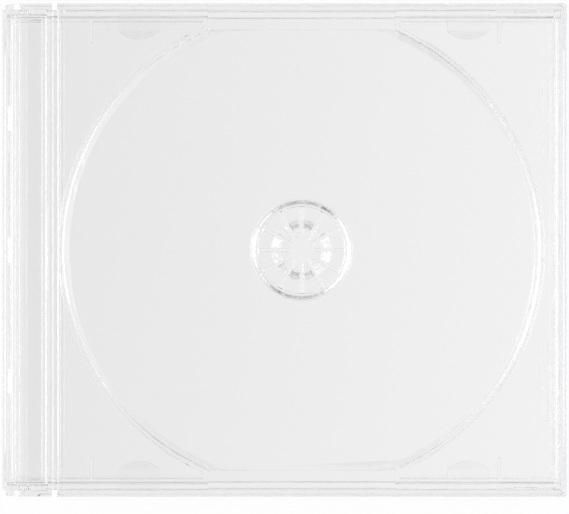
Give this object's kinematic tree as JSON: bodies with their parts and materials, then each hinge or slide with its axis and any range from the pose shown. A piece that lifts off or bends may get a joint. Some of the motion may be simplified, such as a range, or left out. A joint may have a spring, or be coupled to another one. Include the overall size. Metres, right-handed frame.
{
  "type": "cd jewel case",
  "caption": "Clear hinged disc case: a back cover, a snapped-in disc tray with a petal hub, and a front lid that swings open on pegs.",
  "frame": {"origin": "middle of the closed case's back face", "axes": "+X from the hinge edge to the opening edge, +Y up the front, +Z out of the front lid"},
  "size_m": [0.142, 0.124, 0.0101],
  "materials": {
    "back_cover": "clear polished",
    "disc_tray": "clear polished",
    "front_lid": "clear polished"
  },
  "bodies": {
    "case": {"back_cover": "back_cover", "disc_tray": "disc_tray"},
    "lid": {"front_lid": "front_lid"}
  },
  "joints": [
    {"name": "lid_hinge", "type": "hinge", "parent": "case", "child": "lid", "pos_m": [-0.0657, 0, 0.00505], "axis": [0, -1, 0], "range_deg": [0, 180]}
  ]
}
